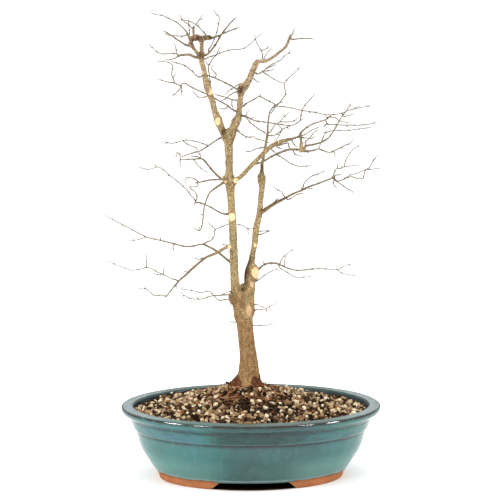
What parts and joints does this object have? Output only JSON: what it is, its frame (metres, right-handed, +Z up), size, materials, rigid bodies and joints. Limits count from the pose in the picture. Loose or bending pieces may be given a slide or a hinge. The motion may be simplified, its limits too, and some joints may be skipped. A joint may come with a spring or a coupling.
{
  "type": "trident maple bonsai",
  "caption": "Leafless trident maple bonsai with a forked trunk and fine twigs, growing in granular soil in an oval glazed pot on low unglazed feet.",
  "frame": {"origin": "under the middle of the oval pot, on the plane that its feet stand on", "axes": "+Z up, +X to the right along the pot's length, +Y away from somebody who looks at the front of the tree"},
  "size_m": [0.3423, 0.2366, 0.5565],
  "materials": {
    "pot": "glossy teal glaze over stoneware, bare terracotta-coloured clay on the feet and underside",
    "soil": "loose fired-clay and pumice grains, matt",
    "bark": "smooth mottled bark with pale pruning scars, matt",
    "drain_mesh": "black plastic netting, matt",
    "drain_wire": "brown anodised soft aluminium wire, satin"
  },
  "bodies": {
    "root": {"pot": "pot", "soil": "soil", "tree": "bark", "drain_mesh_left": "drain_mesh", "drain_mesh_right": "drain_mesh", "drain_wire_left": "drain_wire", "drain_wire_right": "drain_wire"}
  },
  "joints": []
}
